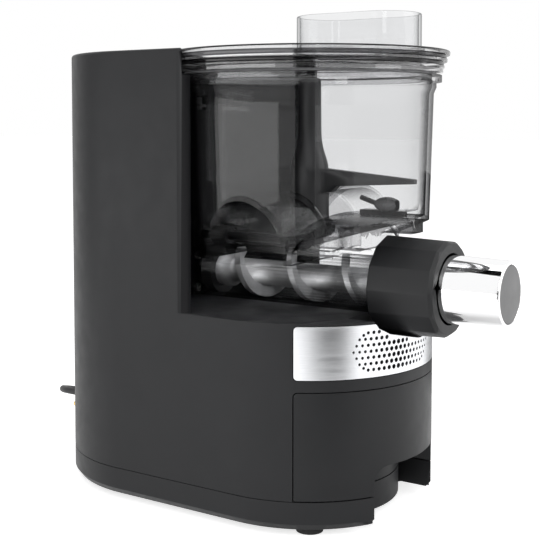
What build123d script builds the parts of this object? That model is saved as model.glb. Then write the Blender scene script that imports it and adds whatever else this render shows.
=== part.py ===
from build123d import *
import math
import os

os.makedirs("parts", exist_ok=True)

# An electric pasta maker.  Millimetres, +Z up, the front faces -Y.
# Origin: under the middle of the machine, on the surface it stands on.

# Body plan: two half circles joined by straight sides.
BODY_W = 170.0
BODY_R = BODY_W / 2
BOWL_Y = -21.0            # axis of the bowl
FRONT_Y = -18.4           # axis of the rounded front
REAR_Y = 78.0             # axis of the rounded back
BODY_TOP = 300.0
SHELF_Z = 132.0           # top of the low front part, under the bowl
SPLIT_Z = 23.0            # joint between housing and base tray
WALL = 2.6
GAP = 0.4                 # joint line between two covers
TOWER_FRONT = 13.2
TOWER_CORNER_R = 15.0
DOCK_R = 90.0             # hollow in the tower that takes the bowl
LID_DOCK_R = 94.5
LID_DOCK_Z = 283.0
REAR_COVER_ANGLE = 40.0

# Base
FOOT_H = 5.0
TRAY_FULL_Z = 9.0
TRAY_INSET = 3.0
NOTCH_X = 41.5            # half width of the finger notch
NOTCH_TOP = 41.0
NOTCH_CORNER_R = 10.0
NOTCH_BACK_R = 63.0       # back of the notch, measured from the front axis

# Front
FRONT_ANGLE = 64.2        # drawer and grille reach this far round each side
DRAWER_TOP = 89.7
PANEL_CORNER_R = 2.4
DRAWER_REAR = -10.0
GRILLE_Z = (97.7, 130.2)
GRILLE_T = 1.6
HOLE_R = (0.85, 1.55)     # at the ends of the field and in its middle
HOLE_PITCH = 3.96
HOLE_ROW_STEP = 3.82
HOLE_ROWS = 7
HOLE_FIELD_ANGLE = 21.4   # half of the field, which sits to the left of the middle
HOLE_FIELD_MID = -16.6

# Extruder line
AXIS_Z = 149.0
BARREL_R = 21.5
BORE_R = 17.4
BARREL_REAR = 58.0
BARREL_FRONT = -98.0
AUGER_R = 16.8
AUGER_SHAFT_R = 8.75
AUGER_PITCH = 42.0
FLIGHT_T = 4.0
FLIGHT_START = 47.0
NUT_Y = (-124.2, -80.6)   # front face, rear face
NUT_R = 31.8
NUT_FACETS = 13
NUT_PHASE = 124.2
NUT_FACET_FRONT = -120.6  # the facets stop here, before the round front rim
NUT_MOUTH_R = 22.3
SADDLE = [(0.0, 116.4), (4.0, 116.8), (31.0, 122.9), (39.0, 127.2), (42.6, 132.4)]
SADDLE_REAR = -74.0
SLEEVE_R = (21.9, 20.6)   # at the nut, at the outlet
SLEEVE_STEP_Y = -112.2
SPIGOT_R = 18.4
SLEEVE_FRONT = -163.0

# Bowl
BOWL_R = 80.0
BOWL_WALL = 3.0
BOWL_FLOOR = 166.5
BOWL_TOP = 284.0
BOWL_TOP_R = 82.3
SIDE_ARCH = (30.0, 37.0, 168.0, -17.5)    # half width, height, foot Z, centre Y
SIDE_ARCH_X = 25.0
FRONT_ARCH = (77.0, 23.0, 168.0)          # half width, height, foot Z
FRONT_ARCH_Y = -52.0

# Lid and cup
LID_RIM_R = 93.0
LID_RIM_Z = (296.5, 299.8)
LID_Z = 290.0
CUP_L = 85.2
CUP_W = 49.2
CUP_Y = -57.5
CUP_TOP = 322.5
CUP_WALL = 1.8

# Drive
MOTOR_Z = 68.0
MOTOR_R = 36.0
PADDLE_DRIVE_Z = 173.0
GEAR_1 = (1.25, 10, 48)   # module, teeth of the motor pinion, teeth of the wheel
GEAR_2 = (1.5, 14, 52)
GEAR_3 = (1.5, 16, 16)    # drive shaft to the upper shaft
STAGE_1_Y = (96.5, 104.0)
STAGE_2_Y = (84.5, 94.5)
TRANSFER_Y = (77.2, 82.0)
CASE_Y = (73.0, 110.0)
CASE_X = 46.0
CASE_Z = (44.0, 194.0)
FACE_TEETH = 26
LAY_TEETH = 10
HEX_AF = 12.0
UPPER_HEX_AF = 6.0
BACKLASH = 0.18

# Mains lead
CORD_D = 5.5
CORD_Z = 40.0
GLAND_L = 24.0
COIL_X, COIL_Y = 70.0, 188.0
COIL_MEAN_R = 31.0
COIL_WIDE = 3             # turns side by side
COIL_HIGH = 2             # layers

CENTER = Align.CENTER
MIN = Align.MIN


def upright(r, z0, z1, x=0.0, y=0.0):
    return Pos(x, y, z0) * Cylinder(r, z1 - z0, align=(CENTER, CENTER, MIN))


def rod(r, y0, y1, x=0.0, z=AXIS_Z):
    """A round bar along Y from y0, the front end, to y1."""
    return Pos(x, y1, z) * Rot(90, 0, 0) * Cylinder(r, y1 - y0, align=(CENTER, CENTER, MIN))


def block(x0, x1, y0, y1, z0, z1):
    return Pos(x0, y0, z0) * Box(x1 - x0, y1 - y0, z1 - z0, align=(MIN, MIN, MIN))


def hex_bar(flats, y0, y1, z):
    plan = RegularPolygon(flats / 2, 6, major_radius=False)
    return extrude(Pos(0, y1, z) * Rot(90, 0, 0) * plan, y1 - y0)


def stadium(inset, z0, z1):
    """An upright block with the body's plan, drawn in by inset."""
    plan = SlotCenterToCenter(REAR_Y - FRONT_Y, 2 * (BODY_R - inset), rotation=90)
    return extrude(Pos(0, (REAR_Y + FRONT_Y) / 2, z0) * plan, z1 - z0)


def wedge(angle, z0, z1, y=FRONT_Y, towards=-90.0):
    """A pie slice of half angle `angle` about (0, y), pointing along `towards` degrees."""
    reach = 260.0
    steps = 4
    pts = [(0, 0)]
    for i in range(steps + 1):
        a = math.radians(towards - angle + 2 * angle * i / steps)
        pts.append((reach * math.cos(a), reach * math.sin(a)))
    return extrude(Pos(0, y, z0) * Polygon(*pts, align=None), z1 - z0)


def front_shell(r0, r1, angle, z0, z1, middle=0.0):
    """A curved panel of the rounded front, about a line `middle` degrees off the centre."""
    ring = upright(r1, z0, z1, y=FRONT_Y) - upright(r0, z0, z1, y=FRONT_Y)
    return ring & wedge(angle, z0, z1, towards=middle - 90.0)


def outside_corners(angle, ends, r):
    """What a curved front panel loses where its corners are rounded.  An end is a height, and 1 for top or -1."""
    cuts = []
    for side in (-1, 1):
        for z, way in ends:
            x0, x1 = sorted((side, -side * r))
            z0, z1 = sorted((z + way, z - way * r))
            cut = block(x0, x1, -BODY_R - 3, -BODY_R + 8, z0, z1) \
                - rod(r, -BODY_R - 4, -BODY_R + 9, -side * r, z - way * r)
            cuts.append(Pos(0, FRONT_Y, 0) * Rot(0, 0, side * angle) * cut)
    return cuts


def rear_shell(r0, r1, angle, z0, z1):
    ring = upright(r1, z0, z1, y=REAR_Y) - upright(r0, z0, z1, y=REAR_Y)
    return ring & wedge(angle, z0, z1, REAR_Y, 90.0)


def save(shape, name):
    shape.label = name
    export_step(shape, f"parts/{name}.step")


# ---------------------------------------------------------------- housing

def tower_plan(inset, z0, z1):
    r = TOWER_CORNER_R - inset
    corner_box = block(-BODY_R + inset, BODY_R - inset, TOWER_FRONT + inset, 200, z0, z1)
    front_edges = corner_box.edges().filter_by(Axis.Z).sort_by(Axis.Y)[:2]
    tower = fillet(front_edges, r) & stadium(inset, z0, z1)
    if inset == 0:
        tower = fillet(tower.edges().group_by(Axis.Z)[-1], 2.0)
    tower -= upright(DOCK_R + inset, z0, z1, y=BOWL_Y)
    if z1 > LID_DOCK_Z:
        tower -= upright(LID_DOCK_R + inset, LID_DOCK_Z - inset, z1, y=BOWL_Y)
    return tower


def housing_shell():
    top_in = BODY_TOP - WALL
    shell = stadium(0, SPLIT_Z, SHELF_Z) + tower_plan(0, SHELF_Z, BODY_TOP)
    shell -= stadium(WALL, SPLIT_Z, SHELF_Z - WALL)
    shell -= tower_plan(WALL, SHELF_Z - WALL, top_in)
    # trough for the barrel and saddle for the nut
    trough_r = BARREL_R + 2
    body_front = FRONT_Y - BODY_R
    shell += rod(trough_r + WALL, body_front, 70) & stadium(0.01, 100, SHELF_Z - 0.01)
    shell += saddle(WALL) & stadium(0.01, 100, SHELF_Z - 0.01)
    shell -= rod(trough_r, body_front - 1, BOWL_Y + DOCK_R - 4)
    shell -= saddle(0)
    # drawer and grille openings
    top = DRAWER_TOP + 0.6
    shell -= front_shell(60, BODY_R + 1, FRONT_ANGLE + 0.4, SPLIT_Z - 1, top) \
        - outside_corners(FRONT_ANGLE + 0.4, [(top, 1)], PANEL_CORNER_R + 0.6)
    low, high = GRILLE_Z[0] - 0.6, GRILLE_Z[1] + 0.6
    shell -= front_shell(BODY_R - GRILLE_T - 0.1, BODY_R + 1, FRONT_ANGLE + 0.4, low, high) \
        - outside_corners(FRONT_ANGLE + 0.4, [(low, -1), (high, 1)], PANEL_CORNER_R + 0.6)
    shell -= front_shell(75, BODY_R + 1, HOLE_FIELD_ANGLE + 2, GRILLE_Z[0] + 3, GRILLE_Z[1] - 2.5,
                         HOLE_FIELD_MID) - saddle(WALL)
    # rear cover opening, drive holes, lead hole, lid switch slot
    shell -= rear_shell(78, BODY_R + 1, REAR_COVER_ANGLE, SHELF_Z + 2, 257)
    shell -= rod(13.2, 55, 80)
    shell -= rod(6.5, 55, 80, z=PADDLE_DRIVE_Z)
    shell -= rod(6.6, 150, 170, z=CORD_Z)
    shell -= block(-7, 7, 62, 80, 262, 272)
    # window for the control panel
    shell -= panel_plan(0, BODY_TOP - 1.6, BODY_TOP + 1)
    shell -= panel_plan(4, BODY_TOP - 6, BODY_TOP + 1)
    return shell


def saddle_profile(x):
    """Height of the saddle's floor a distance x from the middle."""
    x = abs(x)
    for (xa, za), (xb, zb) in zip(SADDLE, SADDLE[1:]):
        if x <= xb:
            return za + (zb - za) * (x - xa) / (xb - xa)
    return GRILLE_Z[1] + 20


def saddle(grow):
    """The dip in the shelf and the front in which the nut sits, or with grow its outer skin."""
    right = [(x + (grow * 0.6 if x > 35 else 0), z - grow) for x, z in SADDLE]
    top = [(SADDLE[-1][0] + 1 + grow, 150), (-SADDLE[-1][0] - 1 - grow, 150)]
    left = [(-x, z) for x, z in reversed(right)]
    plan = Polygon(*(left[:-1] + right + top), align=None)
    return extrude(Pos(0, SADDLE_REAR + grow, 0) * Rot(90, 0, 0) * plan, SADDLE_REAR + grow + 125)


def panel_plan(inset, z0, z1):
    plan = stadium(14 + inset, z0, z1) & block(-90, 90, 0, 200, z0, z1)
    return plan - upright(LID_DOCK_R + 9 + inset, z0, z1, y=BOWL_Y)


def rear_cover():
    return rear_shell(BODY_R - 0.5 - 2.2, BODY_R - 0.5, REAR_COVER_ANGLE - 0.25, SHELF_Z + 2 + GAP, 257 - GAP)


def finger_notch(grow, z0, z1):
    """The space under the drawer front where fingers reach in."""
    outline = block(-NOTCH_X - grow, NOTCH_X + grow, -130, FRONT_Y, z0, z1 + grow)
    edges = outline.edges().filter_by(Axis.Y).sort_by(Axis.Z)[-2:]
    if z1 >= NOTCH_TOP:
        outline = fillet(edges, NOTCH_CORNER_R)
    return outline - upright(NOTCH_BACK_R - grow, z0 - 1, z1 + grow + 1, y=FRONT_Y)


FOOT_SPOTS = [(-62, 96), (62, 96), (-58, -56), (58, -56)]


def base_tray():
    plan = SlotCenterToCenter(REAR_Y - FRONT_Y, 2 * BODY_R, rotation=90)
    foot_plan = SlotCenterToCenter(REAR_Y - FRONT_Y, 2 * (BODY_R - TRAY_INSET), rotation=90)
    mid_y = (REAR_Y + FRONT_Y) / 2
    skirt = loft([Pos(0, mid_y, FOOT_H) * foot_plan, Pos(0, mid_y, TRAY_FULL_Z) * plan])
    tray = skirt + stadium(0, TRAY_FULL_Z, SPLIT_Z - GAP)
    tray -= stadium(TRAY_INSET + 3, FOOT_H + 3, SPLIT_Z)
    notch_wall = finger_notch(3, FOOT_H, SPLIT_Z - GAP - 3) & stadium(1, FOOT_H + 1, SPLIT_Z - GAP)
    tray += notch_wall
    tray -= finger_notch(0, FOOT_H - 1, SPLIT_Z + 1)
    for x, y in FOOT_SPOTS:
        tray -= upright(3.02, FOOT_H - 1, FOOT_H + 4, x, y)
    # air slots under the motor
    for i in range(7):
        tray -= block(-30, 30, 20 + 9 * i, 24 + 9 * i, FOOT_H - 1, FOOT_H + 4)
    return tray


def rubber_feet():
    return [upright(8.5, 0, FOOT_H, x, y) + upright(3, FOOT_H, FOOT_H + 3, x, y) for x, y in FOOT_SPOTS]


def hole_radius(angle):
    """The holes are largest in the middle of their field."""
    off = min(1.0, abs(angle - HOLE_FIELD_MID) / HOLE_FIELD_ANGLE)
    return HOLE_R[1] + (HOLE_R[0] - HOLE_R[1]) * off


def hole_spots():
    """Angle and height of each hole: staggered rows, shorter at the top and bottom, with filled corners."""
    mid_z = (GRILLE_Z[0] + GRILLE_Z[1]) / 2
    step = math.degrees(HOLE_PITCH / BODY_R)
    middle_row = HOLE_ROWS // 2
    spots = []
    for row in range(HOLE_ROWS):
        off = abs(row - middle_row)
        half = 8.5 - 0.5 * off if off < middle_row else 6.0
        z = mid_z + (row - middle_row) * HOLE_ROW_STEP
        for i in range(int(2 * half) + 1):
            spots.append((HOLE_FIELD_MID + (i - half) * step, z))
    for side in (-1, 1):
        for end in (-1, 1):
            spots.append((HOLE_FIELD_MID + side * 6.8 * step, mid_z + end * 2.65 * HOLE_ROW_STEP))
    return spots


def grille_panel():
    panel = front_shell(BODY_R - GRILLE_T, BODY_R, FRONT_ANGLE, *GRILLE_Z)
    drills = []
    for angle, z in hole_spots():
        floor = saddle_profile(BODY_R * math.sin(math.radians(angle)))
        r = min(hole_radius(angle), floor - 0.6 - z)
        if r < 0.55:
            continue
        drill = Pos(0, FRONT_Y - BODY_R + 4, 0) * Rot(90, 0, 0) * Cylinder(r, 8, align=(CENTER, CENTER, MIN))
        drills.append(Pos(0, FRONT_Y, z) * Rot(0, 0, angle) * Pos(0, -FRONT_Y, 0) * drill)
    corners = outside_corners(FRONT_ANGLE, [(GRILLE_Z[0], -1), (GRILLE_Z[1], 1)], PANEL_CORNER_R)
    return panel - drills - saddle(0) - corners


def drawer_front():
    skin = front_shell(BODY_R - WALL, BODY_R, FRONT_ANGLE - 0.05, SPLIT_Z + GAP, DRAWER_TOP)
    lining = finger_notch(2.2, SPLIT_Z + GAP, NOTCH_TOP) & upright(BODY_R - 1, SPLIT_Z + GAP, 60, y=FRONT_Y)
    skin -= outside_corners(FRONT_ANGLE - 0.05, [(DRAWER_TOP, 1)], PANEL_CORNER_R)
    front = skin + lining
    return front - finger_notch(0, SPLIT_Z - 2, NOTCH_TOP)


def drawer_tray():
    def trough(inset, z0, z1):
        low = block(-56 + inset, 56 - inset, -100, DRAWER_REAR - inset, z0, 46) \
            & upright(NOTCH_BACK_R - 3 - inset, z0, 46, y=FRONT_Y)
        high = block(-56 + inset, 56 - inset, -110, DRAWER_REAR - inset, 44 + inset, z1) \
            & upright(BODY_R - WALL - 0.01 - inset, 44, z1, y=FRONT_Y)
        return low + high
    return trough(0, 27, 84) - trough(2, 29, 90)


def spare_discs():
    discs = []
    for i, x in enumerate((-24, 0, 24)):
        disc = Pos(x, -46, 29.2) * Cylinder(11, 7, align=(CENTER, CENTER, MIN))
        if i == 0:
            for k in range(6):
                disc -= Pos(x, -46, 29) * Rot(0, 0, 60 * k) * Pos(5.5, 0, 0) * Cylinder(1.6, 20)
        elif i == 1:
            for k in (-4, 0, 4):
                disc -= Pos(x, -46 + k, 29) * Box(14, 1.6, 20)
        else:
            disc -= Pos(x, -46, 29) * Cylinder(4.2, 20)
        discs.append(disc)
    return discs


# ---------------------------------------------------------------- top panel

PANEL_BUTTONS = {"button_power": (-36.0, 118.0), "button_menu": (-12.0, 118.0),
                 "button_plus": (12.0, 118.0), "button_start": (36.0, 118.0)}
BUTTON_R = 7.0


def top_panel():
    panel = panel_plan(0.3, BODY_TOP - 1.5, BODY_TOP)
    for x, y in PANEL_BUTTONS.values():
        panel -= upright(BUTTON_R + 0.35, BODY_TOP - 5, BODY_TOP + 5, x, y)
    panel -= block(-26, 26, 93, 107, BODY_TOP - 5, BODY_TOP + 5)
    return panel


def display_window():
    return block(-25.7, 25.7, 93.3, 106.7, BODY_TOP - 2.4, BODY_TOP - 0.1)


def button(x, y):
    cap = upright(BUTTON_R, BODY_TOP - 4.5, BODY_TOP + 0.6, x, y)
    cap = fillet(cap.edges().sort_by(Axis.Z)[-1], 0.5)
    stem = upright(2.4, BODY_TOP - 9, BODY_TOP - 4.5, x, y)
    return cap + stem


def control_board():
    board = block(-50, 50, 88, 128, BODY_TOP - 14, BODY_TOP - 12.4)
    for x, y in PANEL_BUTTONS.values():
        board += block(x - 3, x + 3, y - 3, y + 3, BODY_TOP - 12.4, BODY_TOP - 10.6)
    board += block(-24, 24, 94, 106, BODY_TOP - 12.4, BODY_TOP - 3.5)
    return board


# ---------------------------------------------------------------- dock and drive

DOCK_FACE_Y = BOWL_Y + DOCK_R      # rear wall of the hollow, on the centre line
DOCK_PLATE_T = 3.4
DOCK_SCREW_R = 18.0


def dock_plate():
    wall = upright(DOCK_R - 0.05, 120, 180, y=BOWL_Y)
    sheet = wall - upright(DOCK_R - DOCK_PLATE_T, 120, 180, y=BOWL_Y)
    plate = sheet & rod(24, 55, 75) & block(-30, 30, 50, 80, SHELF_Z + 0.2, AXIS_Z + 17)
    plate += rod(12.5, DOCK_FACE_Y - 7, DOCK_FACE_Y - 0.2) & wall
    plate -= rod(9, 50, 75)
    for x, z in screw_spots():
        plate -= rod(1.7, 50, 75, x, z)
    return plate


def dock_plate_face(x):
    """Where the front of the curved plate is, a distance x from the middle."""
    return BOWL_Y + math.sqrt((DOCK_R - DOCK_PLATE_T) ** 2 - x ** 2)


def screw_spots():
    d = DOCK_SCREW_R * math.sqrt(0.5)
    return [(-d, AXIS_Z + d * 0.8), (d, AXIS_Z + d * 0.8), (-d, AXIS_Z - d), (d, AXIS_Z - d)]


def dock_screws():
    screws = []
    for x, z in screw_spots():
        face = dock_plate_face(abs(x) + 3)
        head = rod(3.0, face - 1.9, face - 0.02, x, z)
        screw = head + rod(1.6, face - 0.5, face + 2.6, x, z)
        screws.append(screw - rod(0.9, face - 3, face - 1.0, x, z))
    return screws


def dock_rails():
    rails = []
    for x in (-17, 17):
        bar = block(x - 1.6, x + 1.6, 55, 80, 184, 274)
        bar &= upright(DOCK_R - 0.05, 180, 282, y=BOWL_Y) - upright(DOCK_R - 5.5, 180, 282, y=BOWL_Y)
        rails.append(bar)
    return rails


def gear_outline(module, teeth, phase):
    """Involute outline with 20 degree flanks.  A tooth points along `phase` degrees."""
    pitch_r = module * teeth / 2
    base_r = pitch_r * math.cos(math.radians(20))
    tip_r = pitch_r + module
    root_r = pitch_r - 1.25 * module
    half_at_pitch = math.pi / (2 * teeth) - BACKLASH / 2 / pitch_r

    def involute(r):
        if r <= base_r:
            return 0.0
        a = math.acos(base_r / r)
        return math.tan(a) - a

    radii = [max(base_r, root_r + 0.05)]
    radii += [radii[0] + (tip_r - radii[0]) * k / 4 for k in (1, 2, 3, 4)]
    points = []
    for n in range(teeth):
        centre = math.radians(phase) + 2 * math.pi * n / teeth
        flank = [(r, half_at_pitch + involute(pitch_r) - involute(r)) for r in radii]
        flank.insert(0, (root_r, flank[0][1]))
        points += [(r, centre - h) for r, h in flank]
        points += [(r, centre + h) for r, h in reversed(flank)]
    return [(r * math.cos(a), r * math.sin(a)) for r, a in points]


def spur_gear(module, teeth, phase, y0, y1, x, z, bore):
    """A gear about the Y axis.  The outline's own axes are the row's X and Z."""
    outline = [(px, pz) for px, pz in gear_outline(module, teeth, phase)]
    plan = Polygon(*outline, align=None) - Circle(bore)
    gear = extrude(plan, y1 - y0)
    return Pos(x, y1, z) * Rot(90, 0, 0) * gear


def axle_place():
    """Where the middle axle sits, so that both gear pairs meet."""
    reach_1 = GEAR_1[0] * (GEAR_1[1] + GEAR_1[2]) / 2
    reach_2 = GEAR_2[0] * (GEAR_2[1] + GEAR_2[2]) / 2
    rise = AXIS_Z - MOTOR_Z
    along = (reach_1 ** 2 - reach_2 ** 2 + rise ** 2) / (2 * rise)
    return math.sqrt(reach_1 ** 2 - along ** 2), MOTOR_Z + along


AXLE_X, AXLE_Z = axle_place()

def mesh_angle(x0, z0, x1, z1):
    return math.degrees(math.atan2(z1 - z0, x1 - x0))


def pinion_phase():
    return mesh_angle(0, MOTOR_Z, AXLE_X, AXLE_Z)


def half_tooth(teeth):
    return 180.0 / teeth


def motor_pinion():
    m, small, _ = GEAR_1
    return spur_gear(m, small, pinion_phase(), STAGE_1_Y[0], STAGE_1_Y[1] - 0.5, 0, MOTOR_Z, 3.0)


def reduction_gear():
    m1, _, big = GEAR_1
    m2, small, _ = GEAR_2
    towards_motor = pinion_phase() + 180
    towards_output = mesh_angle(AXLE_X, AXLE_Z, 0, AXIS_Z)
    wheel = spur_gear(m1, big, towards_motor + half_tooth(big), *STAGE_1_Y, AXLE_X, AXLE_Z, 4.05)
    small_wheel = spur_gear(m2, small, towards_output, STAGE_2_Y[0], STAGE_1_Y[0], AXLE_X, AXLE_Z, 4.05)
    web = rod(22, STAGE_1_Y[0] - 0.5, STAGE_1_Y[0] + 2, AXLE_X, AXLE_Z) \
        - rod(13, STAGE_1_Y[0] - 1, STAGE_1_Y[0] + 2.5, AXLE_X, AXLE_Z)
    return wheel + small_wheel - web


def output_gear():
    m2, _, big = GEAR_2
    towards_axle = mesh_angle(0, AXIS_Z, AXLE_X, AXLE_Z)
    wheel = spur_gear(m2, big, towards_axle + half_tooth(big), *STAGE_2_Y, 0, AXIS_Z, 7.0)
    groove = rod(33, STAGE_2_Y[1] - 3, STAGE_2_Y[1] + 1) - rod(13, STAGE_2_Y[1] - 4, STAGE_2_Y[1] + 2)
    return wheel - groove


def transfer_gear():
    m, low, _ = GEAR_3
    return spur_gear(m, low, 90.0, *TRANSFER_Y, 0, AXIS_Z, 7.0)


def drive_shaft():
    shaft = rod(7.0, DOCK_FACE_Y - 2, CASE_Y[1] - 1)
    return shaft + hex_bar(HEX_AF, 43.0, DOCK_FACE_Y - 1, AXIS_Z)


def upper_shaft():
    m, _, high = GEAR_3
    shaft = rod(4.0, DOCK_FACE_Y - 2, TRANSFER_Y[1] + 0.2, z=PADDLE_DRIVE_Z)
    shaft += hex_bar(UPPER_HEX_AF, 47.0, DOCK_FACE_Y - 1, PADDLE_DRIVE_Z)
    phase = -90.0 + half_tooth(high)
    gear = spur_gear(m, high, phase, *TRANSFER_Y, 0, PADDLE_DRIVE_Z, 3.9)
    return shaft + gear


def reduction_axle():
    return rod(4.0, CASE_Y[0] + 0.5, CASE_Y[1] - 0.5, AXLE_X, AXLE_Z)


def gearbox_block(inset, y0, y1):
    low = block(-24 + inset, CASE_X + 4 - inset, y0, y1, CASE_Z[0] + inset, AXIS_Z)
    high = rod(CASE_X - inset, y0, y1)
    return low + high


def gearbox_case():
    case = gearbox_block(0, CASE_Y[0], CASE_Y[1] - 3) - gearbox_block(3, CASE_Y[0] + 3, CASE_Y[1])
    case -= rod(11.05, 70, 80)
    case -= rod(6.55, 70, 80, z=PADDLE_DRIVE_Z)
    case -= rod(3.6, 70, 80, z=MOTOR_Z)
    case += rod(7, CASE_Y[0] + 2, STAGE_2_Y[0] - 0.6, AXLE_X, AXLE_Z)
    return case - rod(4.0, 70, 90, AXLE_X, AXLE_Z)


def gearbox_cover():
    y0, y1 = CASE_Y[1] - 3, CASE_Y[1]
    cover = gearbox_block(0, y0 + 0.02, y1)
    cover -= rod(7.06, y0 - 1, y1 + 1)
    cover -= rod(4.0, y0 - 1, y1 + 1, AXLE_X, AXLE_Z)
    for x, z in cover_screw_spots():
        cover -= rod(1.75, y0 - 1, y1 + 1, x, z)
    return cover


def cover_screw_spots():
    return [(-20, 48), (46, 48), (-20, 98), (46, 92)]


def cover_screws():
    return [rod(3.2, CASE_Y[1] + 0.02, CASE_Y[1] + 2.2, x, z) + rod(1.6, CASE_Y[1] - 2.9, CASE_Y[1] + 1, x, z)
            for x, z in cover_screw_spots()]


def shaft_bushes():
    low = rod(11.0, CASE_Y[0], CASE_Y[0] + 3.8) - rod(7.06, 60, 90)
    high = rod(6.5, CASE_Y[0], CASE_Y[0] + 3.8, z=PADDLE_DRIVE_Z) - rod(4.06, 60, 90, z=PADDLE_DRIVE_Z)
    return [low, high]


def shaft_seals():
    low = rod(8.98, DOCK_FACE_Y - 4, DOCK_FACE_Y + 0.5) - rod(7.08, 55, 80)
    low -= hex_bar(HEX_AF + 2.6, 40, 80, AXIS_Z) & rod(20, 40, DOCK_FACE_Y - 1.5)
    high = rod(6.45, DOCK_FACE_Y - 1.5, DOCK_FACE_Y + 2.5, z=PADDLE_DRIVE_Z) \
        - rod(4.08, 55, 80, z=PADDLE_DRIVE_Z)
    return [low, high]


MOTOR_Y = (-4.0, 71.0)


def motor_can():
    can = rod(MOTOR_R, *MOTOR_Y, z=MOTOR_Z) - rod(MOTOR_R - 3, MOTOR_Y[0] + 3, MOTOR_Y[1] - 3, z=MOTOR_Z)
    can -= rod(8, MOTOR_Y[0] - 1, MOTOR_Y[1] + 1, z=MOTOR_Z)
    for i in range(6):
        slot = Pos(0, 0, MOTOR_Z) * Rot(0, 60 * i + 30, 0) * Pos(0, MOTOR_Y[0] + 14, MOTOR_R) * Box(14, 14, 10)
        can -= slot
    return can


def motor_bearings():
    rings = []
    for y in (MOTOR_Y[0], MOTOR_Y[1] - 5):
        rings.append(rod(7.98, y, y + 5, z=MOTOR_Z) - rod(3.02, y - 1, y + 6, z=MOTOR_Z))
    return rings


def motor_rotor():
    rotor = rod(3.0, MOTOR_Y[0] - 1, STAGE_1_Y[1], z=MOTOR_Z)
    rotor += rod(24, 22, 58, z=MOTOR_Z)
    rotor += rod(10, 6, 20, z=MOTOR_Z)
    return rotor


def motor_magnets():
    """Field magnets inside the can, either side of the rotor."""
    ring = rod(MOTOR_R - 3.02, 20, 60, z=MOTOR_Z) - rod(25.2, 15, 65, z=MOTOR_Z)
    halves = ring - block(-40, 40, 15, 65, MOTOR_Z - 6, MOTOR_Z + 6)
    return halves.solids()


def motor_cradle():
    """Saddle that holds the motor on the base tray."""
    saddle = block(-30, 30, 8, 62, FOOT_H + 3, MOTOR_Z - 12)
    saddle -= rod(MOTOR_R + 0.02, 0, 70, z=MOTOR_Z)
    saddle -= block(-22, 22, 14, 56, FOOT_H, MOTOR_Z)
    saddle -= block(-40, 40, 17, 53, FOOT_H + 12, MOTOR_Z - 20)
    return saddle


BOARD_Y = 136.0


def power_board():
    board = block(-50, 50, BOARD_Y, BOARD_Y + 1.6, 150, 236)
    for x, z, w, h, d in ((-34, 214, 20, 26, 16), (-4, 214, 22, 22, 14), (28, 206, 26, 34, 12),
                          (-30, 170, 26, 20, 10), (20, 166, 30, 14, 8)):
        board += block(x - w / 2, x + w / 2, BOARD_Y - d, BOARD_Y, z - h / 2, z + h / 2)
    for x in (-40, -28):
        board += rod(5.5, BOARD_Y - 16, BOARD_Y, x, 188)
    return board


def lid_switch():
    case = block(-6, 6, 73, 84, 255, 271)
    lever = block(-3, 3, 67.5, 73, 264, 266)
    return case + lever


# ---------------------------------------------------------------- drying fan

FAN_X, FAN_Y, FAN_Z = 0.0, -58.0, 101.0
FAN_R = 21.0


def air_fan_case():
    case = upright(FAN_R + 4, 93.5, 108.5, FAN_X, FAN_Y) + block(-23, 23, -94, FAN_Y, 93.5, 108.5)
    hollow = upright(FAN_R + 2, 95.5, 106.5, FAN_X, FAN_Y) + block(-21, 21, -95, FAN_Y, 95.5, 106.5)
    case -= hollow
    case -= upright(12, 105, 110, FAN_X, FAN_Y)
    return case


def air_fan_wheel():
    wheel = upright(FAN_R, 97.6, 98.8, FAN_X, FAN_Y) + upright(9, 97.6, 104.5, FAN_X, FAN_Y)
    for i in range(16):
        blade = Pos(FAN_X, FAN_Y, 98.8) * Rot(0, 0, 22.5 * i) * Pos(FAN_R - 4, 0, 0) \
            * Rot(0, 0, 35) * Box(7, 1.0, 6.4, align=(CENTER, CENTER, MIN))
        wheel += blade
    wheel &= upright(FAN_R, 97, 106, FAN_X, FAN_Y)
    return wheel - upright(1.55, 90, 100.5, FAN_X, FAN_Y)


def air_fan_motor():
    can = upright(8, 95.52, 97.2, FAN_X, FAN_Y)
    return can + upright(1.5, 97.2, 100.3, FAN_X, FAN_Y)


# ---------------------------------------------------------------- bowl

def arch_tunnel_x(grow, side):
    """The scoop in one side of the bowl, running in towards the barrel."""
    half, rise, foot, y = SIDE_ARCH
    oval = Pos(0, y, foot) * Rot(0, 90, 0) * Ellipse(rise + grow, half + grow)
    inner = SIDE_ARCH_X - grow
    tunnel = extrude(oval, 120, dir=(1, 0, 0))
    tunnel &= block(inner, 120, -90, 60, foot - 60, foot + 60)
    if side < 0:
        tunnel = mirror(tunnel, Plane.YZ)
    return tunnel


def arch_tunnel_front(grow):
    half, rise, foot = FRONT_ARCH
    oval = Pos(0, -140, foot) * Rot(90, 0, 0) * Ellipse(half + grow, rise + grow)
    return extrude(oval, 140 + FRONT_ARCH_Y + grow, dir=(0, 1, 0))


def scoops(grow):
    return arch_tunnel_x(grow, 1) + arch_tunnel_x(grow, -1) + arch_tunnel_front(grow)


def bowl_block(inset, z0, lip):
    r = BOWL_R - inset
    top_r = BOWL_TOP_R - inset
    profile = Polyline((0, z0), (r, z0), (r, 190), (top_r, 272), (top_r + 1.7, 276), (top_r + 1.7, lip),
                       (0, lip), (0, z0))
    face = make_face(Plane.XZ * profile)
    return Pos(0, BOWL_Y, 0) * revolve(face, Axis.Z)


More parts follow.
